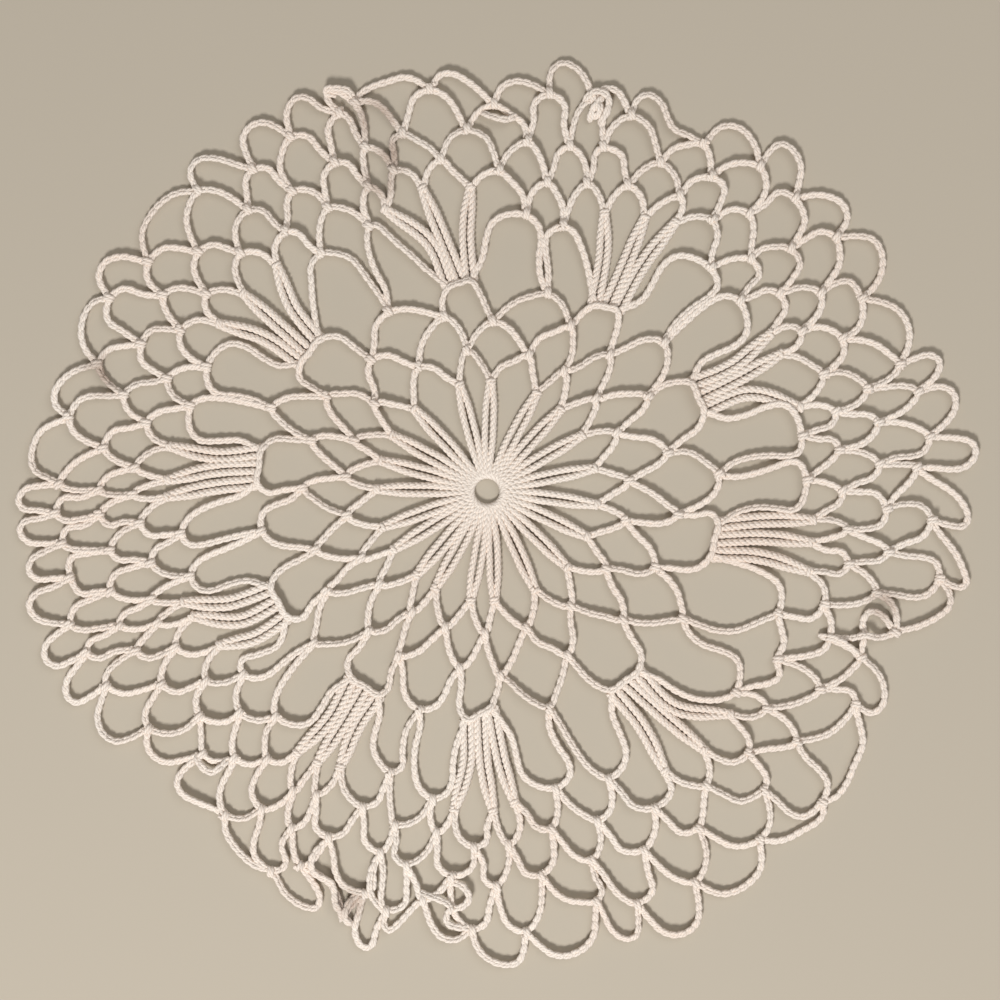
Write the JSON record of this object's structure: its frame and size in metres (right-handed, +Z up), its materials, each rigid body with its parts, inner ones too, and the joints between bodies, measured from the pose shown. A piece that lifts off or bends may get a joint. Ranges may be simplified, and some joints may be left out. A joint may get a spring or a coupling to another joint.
{
  "type": "lace doily",
  "caption": "Round crocheted lace doily laid flat, with paired stitches round a small centre ring, fans of tall stitches and an uneven free edge of chain loops.",
  "frame": {"origin": "middle of the footprint, on the underside", "axes": "+Z up out of the lace's face, +X along its longest extent"},
  "size_m": [0.261, 0.2454, 0.0023],
  "materials": {
    "cotton": "matte crocheted cotton"
  },
  "bodies": {
    "root": {"doily": "cotton"}
  },
  "joints": []
}
